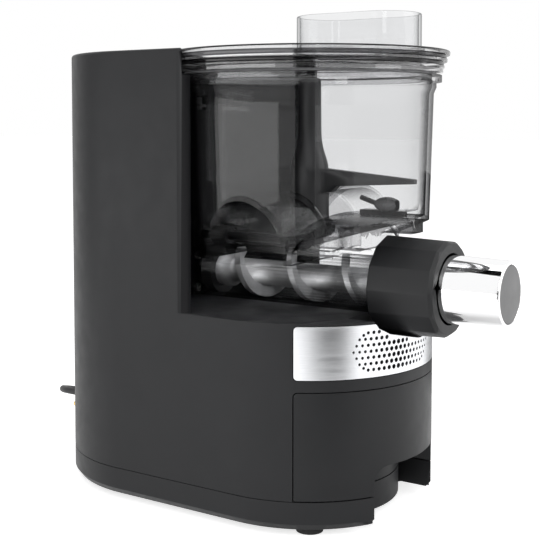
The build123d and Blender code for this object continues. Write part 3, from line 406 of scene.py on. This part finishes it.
def paint_faces(piece, finish, chosen):
    """Give another finish to the faces whose middle and normal satisfy `chosen`."""
    piece.data.materials.append(finish)
    index = len(piece.data.materials) - 1
    for face in piece.data.polygons:
        if chosen(face.center / MM, face.normal):
            face.material_index = index


# ---------------------------------------------------------------- camera

camera_data = bpy.data.cameras.new("camera")
camera_data.lens = 71.65
camera_data.sensor_width = 36.0
camera_data.shift_x = 0.0049
camera_data.shift_y = -0.1657
camera_data.clip_start = 0.05
camera = bpy.data.objects.new("camera", camera_data)
camera.location = (-0.6224, -0.39075, 0.2548)
camera.rotation_euler = (math.radians(90 - 3.235), 0, math.radians(-57.03))
bpy.context.scene.collection.objects.link(camera)
bpy.context.scene.camera = camera


# ---------------------------------------------------------------- mains lead

CORD_ROUTE = [
    (0, 187.05, 40), (0, 198.1, 40), (3.2, 208.5, 39), (10.3, 218, 37), (20.6, 225.2, 33.8),
    (32.7, 228.9, 30.4), (47, 229.1, 26.1), (61.9, 225.4, 20.9), (77.3, 218, 16.2),
    (92.8, 207.6, 13.9),
]


def coil_points():
    """Down the outside of the coil, round it three times inward, and nearly twice outward on top.
    """
    points = []
    steps = 16
    for k in range(1, 8):
        t = k / 7
        angle = 40 - 140 * t
        points.append((30.4 + 11.6 * min(1, 1.5 * t), angle, 13.9 - 11.15 * t ** 1.3))
    for k in range(1, 3 * steps + 1):
        points.append((42 - 5.5 * k / steps, -100 - 360 * k / steps, 2.75))
    for k in range(1, 5):
        points.append((25.5 + 1.375 * k / 4, -100 - 360 * (3 + k / steps), 2.75 + 5.5 * k / 4))
    for k in range(5, 2 * steps):
        points.append((25.5 + 5.5 * k / steps, -100 - 360 * (3 + k / steps), 8.25))
    placed = []
    for r, angle, z in points:
        a = math.radians(angle)
        placed.append((COIL_X + r * math.cos(a), COIL_Y + r * math.sin(a), z))
    return placed


PLUG_X = 44.0
PLUG_TAIL_Y = 172.0
PLUG_Z = 18.1


def mains_lead():
    route = CORD_ROUTE + coil_points()
    route += [(66, 149.5, 9.5), (55.5, 152, 12.5), (47.5, 158, 16.5), (44.3, 165.5, 18),
              (PLUG_X, PLUG_TAIL_Y + 1, PLUG_Z)]
    curve = bpy.data.curves.new("mains_lead", "CURVE")
    curve.dimensions = "3D"
    curve.bevel_depth = CORD_D / 2 * MM
    curve.bevel_resolution = 4
    curve.use_fill_caps = True
    curve.resolution_u = 6
    spline = curve.splines.new("NURBS")
    spline.points.add(len(route) - 1)
    for point, place in zip(spline.points, route):
        point.co = (*(c * MM for c in place), 1.0)
    spline.order_u = 3
    spline.use_endpoint_u = True
    piece = bpy.data.objects.new("mains_lead", curve)
    bpy.context.scene.collection.objects.link(piece)
    curve.materials.append(cord_black)
    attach(piece, "housing")
    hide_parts("cord_lead", "cord_coil")
    return piece


lead = mains_lead()


# ---------------------------------------------------------------- housing

shell = from_solid("housing_shell", charcoal, "shell", "housing")


def in_dock(at, normal):
    """The tower's hollow face behind the bowl."""
    reach = math.hypot(at.x, at.y - BOWL_Y)
    hollow = at.z > SHELF_Z - 0.5 and reach < DOCK_R + 5 and at.y > 5 and abs(at.x) < 84.6
    return hollow and normal.z < 0.9


paint_faces(shell, dock_black, in_dock)
follow_stadium(shell)

for node, finish, name, body, slot, smooth in (
        ("rear_cover", charcoal, "rear_cover_skin", "housing", "housing_plastic", 32),
        ("base_tray", charcoal, "base_skin", "housing", "housing_plastic", 32),
        ("grille_panel", grille_steel, "grille_skin", "housing", "brushed_metal", 25),
        ("drawer_front", charcoal_drawer, "drawer_skin", "drawer", "drawer_plastic", 32)):
    follow_stadium(from_solid(node, finish, name, body, smooth))

# ---------------------------------------------------------------- bowl, lid and cup

bowl = from_solid("bowl", bowl_clear, "bowl_skin", "bowl_unit", smooth=28)


def from_bowl_axis(at):
    return math.hypot(at.x, at.y - BOWL_Y)


def in_leaf(at, normal):
    """The oval leaf on the front wall, and its pin."""
    return 190 < at.z < 209 and 12 < from_bowl_axis(at) < 76.6 and at.y < -60 and at.x < -6


def in_foot(at, normal):
    """The underside of the bowl's front lip, and its post, which take painted shade."""
    return 166 < at.z < 191.5 and at.y < -76 and from_bowl_axis(at) > 62


def in_scoop_wall(at, normal):
    return abs(normal.x) > 0.9 and 20 < abs(at.x) < 27 and 150 < at.z < 207 and -56 < at.y < 22


# The front arch's tunnel ceiling, which takes painted shade.
def in_front_arch(at, normal):
    off_axis = math.hypot(at.x, at.z - AXIS_Z)
    return at.y < -44 and at.z < 184 and normal.z < -0.15 and off_axis > BARREL_R + 3


# The side scoop walls take the painted highlight copy of the bowl's plastic.
paint_faces(bowl, bowl_painted_sheen, in_scoop_wall)
paint_faces(bowl, bowl_shade, in_front_arch)
paint_faces(bowl, bowl_shade, in_foot)
paint_faces(bowl, leaf_smoke, in_leaf)


def plan_loop(bm, steps, radius, z, y, stretch=0.0):
    """A level ring of edges about (0, y): round, or round-ended where it is stretched along Y."""
    made = bmesh.ops.create_circle(bm, cap_ends=False, segments=steps, radius=radius * MM)["verts"]
    for vert in made:
        if abs(vert.co.y) > 1e-6:
            vert.co.y += math.copysign(stretch / 2 * MM, vert.co.y)
    bmesh.ops.translate(bm, verts=made, vec=(0, y * MM, z * MM))
    return list({edge for vert in made for edge in vert.link_edges})


def cup_loop(bm, inset, z, steps=96):
    """The cup's plan, `inset` millimetres in from its outside."""
    return plan_loop(bm, steps, CUP_END_R - inset, z, CUP_Y, CUP_STRETCH)


def join_loops(bm, loops, closed=False):
    """Skin a row of rings.  Two rings never share one level, or the skin may twist."""
    pairs = list(zip(loops, loops[1:])) + ([(loops[-1], loops[0])] if closed else [])
    for a, b in pairs:
        bmesh.ops.bridge_loops(bm, edges=a + b)


def lid_cover():
    """The rim steps in under a broad top lip; the flat cover has an oval neck for the cup."""
    bm = bmesh.new()
    rim = [(81.0, LID_PLATE_Z, 0.3), (83.5, 293.9, 0.6), (85.2, 299.1, 0.5), (86.2, 299.8, 0.3),
           (92.2, 299.7, 0.7), (93.0, 298.6, 0.5), (92.6, 296.9, 0.5), (90.6, 296.3, 0.3),
           (90.4, 294.8, 0.3), (91.2, 294.2, 0.4), (91.0, 292.6, 0.5), (88.9, 292.0, 0.3),
           (88.7, 290.4, 0.3), (89.3, 289.8, 0.3), (89.1, 288.6, 0.4), (88.3, 288.0, 0.2),
           (88.3, 285.5, 0.5), (79.4, 285.3, 0.3), (79.2, 280.6, 0.6), (77.6, 280.1, 0.6),
           (76.6, 281.0, 0.4), (76.5, 290.0, 0.8)]
    loops = [cup_loop(bm, -0.45, 290.2), cup_loop(bm, -0.45, 298.5), cup_loop(bm, -0.8, 298.95),
             cup_loop(bm, -2.2, 298.9), cup_loop(bm, -2.6, 298.5), cup_loop(bm, -2.6, 294.0),
             cup_loop(bm, -3.2, LID_PLATE_Z + 0.2)]
    for r, z in rounded(rim, 0.3, 3, closed=False):
        loops.append(plan_loop(bm, 96, r, z, BOWL_Y))
    join_loops(bm, loops, closed=True)
    bmesh.ops.recalc_face_normals(bm, faces=bm.faces)
    return stand("lid_skin", bm, "lid_unit", lid_clear, ("lid",), 50)


def in_groove(at, normal):
    """The rim's top edge and the two steps under it, which take painted shade."""
    reach = from_bowl_axis(at)
    in_step = 294.0 < at.z < 297.0 or 289.9 < at.z < 292.6
    return reach > 85.6 and at.z > 298.7 or 88 < reach < 92.7 and in_step


paint_faces(lid_cover(), lid_shade, in_groove)


def measuring_cup():
    """A round-ended beaker with a lip that rests on the lid and a rolled top edge."""
    bm = bmesh.new()
    profile = [(2.2, 288.0), (0.6, 288.4), (0.0, 290.0), (0.0, 299.2), (-2.0, 299.3), (-2.2, 300.1),
               (-2.0, 300.9), (0.0, 301.0), (0.0, 321.6), (0.35, 322.3), (0.9, 322.5),
               (1.45, 322.3), (1.8, 321.6), (1.8, 291.6), (2.4, 290.2), (4.2, 289.8)]
    loops = [cup_loop(bm, inset, z) for inset, z in profile]
    join_loops(bm, loops)
    for end in (loops[0], loops[-1]):
        bmesh.ops.edgeloop_fill(bm, edges=end)
    bmesh.ops.recalc_face_normals(bm, faces=bm.faces)
    return stand("cup_skin", bm, "cup", cup_clear, ("measuring_cup",), 40)


measuring_cup()

# ---------------------------------------------------------------- inside the bowl

from_solid("paddle", paddle_black, "paddle_skin", "mixer", smooth=40)
from_solid("auger", steel_auger, "auger_skin", "auger_screw", smooth=40)


# ---------------------------------------------------------------- nut and sleeve

def across_y(bm, made, y):
    """Turn a flat ring of vertices to face along Y and set it at depth y on the outlet's axis."""
    bmesh.ops.rotate(bm, verts=made, cent=(0, 0, 0),
                     matrix=Matrix.Rotation(math.radians(90), 3, "X"))
    bmesh.ops.translate(bm, verts=made, vec=(0, y * MM, AXIS_Z * MM))
    return list({edge for vert in made for edge in vert.link_edges})


def faceted_nut():
    """Thirteen flats that taper a little to the front, a rounded front rim and a stepped bore."""
    front, rear = NUT_Y
    bm = bmesh.new()
    rings = []
    for r, y in ((31.4, rear), (32.0, rear - 0.6), (30.7, front + 2.6), (29.8, front + 0.9)):
        made = bmesh.ops.create_circle(bm, cap_ends=False, segments=NUT_FACETS,
                                         radius=r * MM)["verts"]
        first = math.atan2(made[0].co.y, made[0].co.x)
        bmesh.ops.rotate(bm, verts=made, cent=(0, 0, 0),
                         matrix=Matrix.Rotation(math.radians(NUT_PHASE) - first, 3, "Z"))
        rings.append(across_y(bm, made, y))
    join_loops(bm, rings)
    corners = [e for e in bm.edges if len(e.link_faces) == 2
               and abs((e.verts[0].co - e.verts[1].co).normalized().y) > 0.5]
    bmesh.ops.bevel(bm, geom=corners, offset=0.7 * MM, offset_type="OFFSET", segments=2,
                    profile=0.5, affect="EDGES", material=-1)
    open_edges = [e for e in bm.edges if e.is_boundary]
    front_edges = [e for e in open_edges if e.verts[0].co.y < (front + 2) * MM]
    rear_edges = [e for e in open_edges if e.verts[0].co.y > (rear - 2) * MM]
    inner = [(28.5, front + 0.1), (27.6, front), (22.7, front), (22.36, front + 0.35),
             (22.26, SLEEVE_STEP_Y), (SPIGOT_R + 0.1, SLEEVE_STEP_Y), (SPIGOT_R + 0.1, SPIGOT_REAR),
             (20.9, SPIGOT_REAR), (20.9, BARREL_FRONT - 0.4), (BARREL_STEP_R, BARREL_FRONT - 0.4),
             (BARREL_STEP_R, rear)]
    chain = [front_edges]
    for r, y in inner:
        made = bmesh.ops.create_circle(bm, cap_ends=False, segments=len(front_edges),
                                       radius=r * MM)["verts"]
        chain.append(across_y(bm, made, y))
    join_loops(bm, chain + [rear_edges])
    bmesh.ops.recalc_face_normals(bm, faces=bm.faces)
    return stand("nut_skin", bm, "front_nut", nut_black, ("nut",), 18)


faceted_nut()

outlet_axis = (0, 0, AXIS_Z)
sleeve_profile = rounded([
    (SPIGOT_R, SPIGOT_REAR - 0.2, 0.3), (SPIGOT_R, SLEEVE_STEP_Y, 0), (21.9, SLEEVE_STEP_Y, 0.4),
    (20.55, SLEEVE_FRONT, 2.6), (18.6, SLEEVE_FRONT, 0.4), (18.05, SLEEVE_FRONT + 0.5, 0.3),
    (18.0, SLEEVE_FRONT + 4.2, 0), (17.1, SLEEVE_FRONT + 4.2, 0), (17.1, SPIGOT_REAR - 0.2, 0.3),
], 0.3, 8)
stand("sleeve_skin", turned(sleeve_profile, outlet_axis, "Y", 128), "sleeve", chrome,
      ("outlet_sleeve",))
disc_profile = rounded([
    (0, SLEEVE_FRONT + 0.3), (DISC_R, SLEEVE_FRONT + 0.3, 0.3),
    (DISC_R, SLEEVE_FRONT + 3.9, 0.2), (0, SLEEVE_FRONT + 3.9),
], 0, 3, closed=False)
stand("end_disc_skin", turned(disc_profile, outlet_axis, "Y", 96, closed=False), "sleeve",
      disc_grey, ("sleeve_disc",))


# ---------------------------------------------------------------- carried-over solids

CARRIED = {
    rubber_black: ("rubber_feet", "shaft_seals", "cord_gland"),
    case_grey: ("drawer_tray", "gearbox_case", "gearbox_cover", "motor_cradle", "lid_switch"),
    disc_black: ("spare_discs", "barrel_bush", "shaping_disc"),
    panel_black: ("top_panel",),
    display_glass: ("display_window",),
    board_green: ("control_board", "power_board"),
    # The fan case is made near-black too, as painted shade, so the grille's holes read dark.
    dock_black: ("dock_plate", "dock_rails", "air_fan_case"),
    steel_screw: ("dock_screws", "cover_screws"),
    steel_shaft: ("motor_pinion", "drive_shaft", "reduction_axle", "motor_bearings"),
    gear_white: ("reduction_gear", "output_gear", "transfer_gear"),
    steel_dark: ("upper_shaft", "lay_shaft"),
    gear_dark: ("air_fan_wheel", "paddle_gear"),
    brass_bush: ("shaft_bushes", "plug_pins"),
    motor_grey: ("motor_can", "air_fan_motor"),
    winding: ("motor_rotor",),
    magnet_dark: ("motor_magnets",),
    gasket_grey: ("lid_gasket",),
    cord_black: ("plug_body",),
    button_alloy: ("button_power", "button_menu", "button_plus", "button_start"),
}
for finish, names in CARRIED.items():
    for name in names:
        nodes[name].data.materials.clear()
        nodes[name].data.materials.append(finish)


# ---------------------------------------------------------------- floor, world and lamps

def seen_plainly(tree):
    """1 for camera, mirror-like and refracted rays, 0 for the light that falls on things."""
    path = tree.nodes.new("ShaderNodeLightPath")
    value = path.outputs["Is Camera Ray"]
    for other in ("Is Transmission Ray", "Is Glossy Ray"):
        larger = tree.nodes.new("ShaderNodeMath")
        larger.operation = "MAXIMUM"
        tree.links.new(value, larger.inputs[0])
        tree.links.new(path.outputs[other], larger.inputs[1])
        value = larger.outputs[0]
    return value


def stage_piece(name, bm, material):
    mesh = bpy.data.meshes.new(name)
    bm.to_mesh(mesh)
    bm.free()
    piece = bpy.data.objects.new(name, mesh)
    bpy.context.scene.collection.objects.link(piece)
    mesh.materials.append(material)
    return piece


FLOOR_GLOW = 0.74
PAINTED_SHADOW_GLOW = 0.15


def studio_floor():
    """A white floor with a painted shadow: mirrors see its glow turned down under the outlet, where
    the machine would shade it.
    """
    bm = bmesh.new()
    bmesh.ops.create_grid(bm, x_segments=1, y_segments=1, size=12.0)
    f = Finish("floor_white", (0.80, 0.80, 0.80), 0.9, Specular_IOR_Level=0.1)
    # Painted shadow: the glow that mirrors see falls off towards the spot under the outlet.
    reach = f.node("ShaderNodeVectorMath", operation="LENGTH")
    f.link(f.place(shift=(0.0, 0.13, 0.0)), reach.inputs[0])
    painted_shadow = f.node("ShaderNodeMapRange")
    painted_shadow.inputs["From Min"].default_value = 0.03
    painted_shadow.inputs["From Max"].default_value = 0.16
    painted_shadow.inputs["To Min"].default_value = PAINTED_SHADOW_GLOW
    painted_shadow.inputs["To Max"].default_value = FLOOR_GLOW
    f.link(reach.outputs["Value"], painted_shadow.inputs["Value"])
    shade = f.node("ShaderNodeMix", data_type="FLOAT")
    shade.inputs["A"].default_value = FLOOR_GLOW
    f.link(f.node("ShaderNodeLightPath").outputs["Is Glossy Ray"], shade.inputs["Factor"])
    f.link(painted_shadow.outputs["Result"], shade.inputs["B"])
    level = f.node("ShaderNodeMath", operation="MULTIPLY")
    f.link(seen_plainly(f.tree), level.inputs[0])
    f.link(shade.outputs["Result"], level.inputs[1])
    glow = f.node("ShaderNodeEmission")
    f.link(level.outputs["Value"], glow.inputs["Strength"])
    both = f.node("ShaderNodeAddShader")
    f.link(f.shader.outputs["BSDF"], both.inputs[0])
    f.link(glow.outputs["Emission"], both.inputs[1])
    f.link(both.outputs["Shader"], f.tree.nodes["Material Output"].inputs["Surface"])
    stage_piece("floor", bm, f.material)


def studio_world():
    world = bpy.data.worlds.new("studio")
    bpy.context.scene.world = world
    world.use_nodes = True
    tree = world.node_tree
    tree.nodes.clear()
    out = tree.nodes.new("ShaderNodeOutputWorld")
    plain = tree.nodes.new("ShaderNodeBackground")
    plain.inputs["Strength"].default_value = 0.34
    shown = tree.nodes.new("ShaderNodeBackground")
    shown.inputs["Strength"].default_value = 1.0
    for light in (plain, shown):
        light.inputs["Color"].default_value = (1, 1, 1, 1)
    mix = tree.nodes.new("ShaderNodeMixShader")
    tree.links.new(seen_plainly(tree), mix.inputs["Fac"])
    tree.links.new(plain.outputs[0], mix.inputs[1])
    tree.links.new(shown.outputs[0], mix.inputs[2])
    tree.links.new(mix.outputs[0], out.inputs["Surface"])


def card(name, centre, radius, turn, heights, strength):
    """A curved card round `centre`, over the directions `turn`, that only reflections show."""
    bm = bmesh.new()
    edge = [bm.verts.new((radius, 0, z)) for z in heights]
    bm.edges.new(edge)
    bmesh.ops.rotate(bm, verts=edge, cent=(0, 0, 0),
                     matrix=Matrix.Rotation(math.radians(turn[0]), 3, "Z"))
    bmesh.ops.spin(bm, geom=bm.verts[:] + bm.edges[:], cent=(0, 0, 0), axis=(0, 0, 1),
                   dvec=(0, 0, 0), angle=math.radians(turn[1] - turn[0]), steps=12,
                   use_merge=False, use_duplicate=False)
    bmesh.ops.translate(bm, verts=bm.verts, vec=(*centre, 0))
    material = bpy.data.materials.new(name)
    material.use_nodes = True
    tree = material.node_tree
    tree.nodes.remove(tree.nodes["Principled BSDF"])
    glow = tree.nodes.new("ShaderNodeEmission")
    glow.inputs["Strength"].default_value = strength
    tree.links.new(glow.outputs["Emission"], tree.nodes["Material Output"].inputs["Surface"])
    piece = stage_piece(name, bm, material)
    piece.visible_camera = False
    piece.visible_diffuse = False
    piece.visible_transmission = False
    piece.visible_shadow = False


def lamp(name, place, aim, size, power):
    data = bpy.data.lights.new(name, "AREA")
    data.shape = "RECTANGLE"
    data.size, data.size_y = size
    data.energy = power
    made = bpy.data.objects.new(name, data)
    made.location = place
    made.rotation_euler = (Vector(aim) - Vector(place)).to_track_quat("-Z", "Y").to_euler()
    bpy.context.scene.collection.objects.link(made)


studio_floor()
studio_world()
lamp("key", (-1.5, -0.7, 1.3), (0, 0, 0.15), (0.9, 1.2), 18)
lamp("fill", (0.7, -1.7, 0.9), (0, 0, 0.15), (1.2, 1.0), 12)
lamp("top", (0.1, 0.1, 1.9), (0, 0, 0.1), (1.4, 1.4), 10)
for name, centre, radius, turn, heights, strength in (
        ("softbox", (0, -0.021), 1.0, (117, 183), (0.085, 0.235), 3.8),
        ("left_flag", (0, -0.021), 1.02, (98, 116.5), (0.0, 0.5), 0.02),
        ("near_flag", (-0.04, -0.08), 0.30, (203, 211), (0.0, 0.22), 0.85),
        ("grey_flag", (-0.04, -0.08), 0.30, (211, 220), (0.0, 0.22), 0.35),
        ("dark_flag", (-0.04, -0.08), 0.30, (220, 242), (0.0, 0.22), 0.02),
        ("pale_flag", (-0.04, -0.08), 0.30, (242, 250), (0.0, 0.22), 0.4),
        ("bright_flag", (-0.02, -0.06), 0.46, (256, 340), (0.0, 0.20), 1.4),
        ("side_flag", (-0.04, -0.08), 0.44, (188, 199), (0.0, 0.20), 1.35),
        ("far_flag", (0.0, -0.06), 0.36, (340, 410), (0.0, 0.20), 0.12),
        ("overhead_flag", (0.0, -0.15), 0.30, (92, 168), (0.78, 3.2), 0.0),
        ("lip_flag", (0.0, -0.163), 0.25, (167, 187), (0.105, 0.55), 0.0)):
    card(name, centre, radius, turn, heights, strength)

scene = bpy.context.scene
scene.view_settings.view_transform = "Standard"
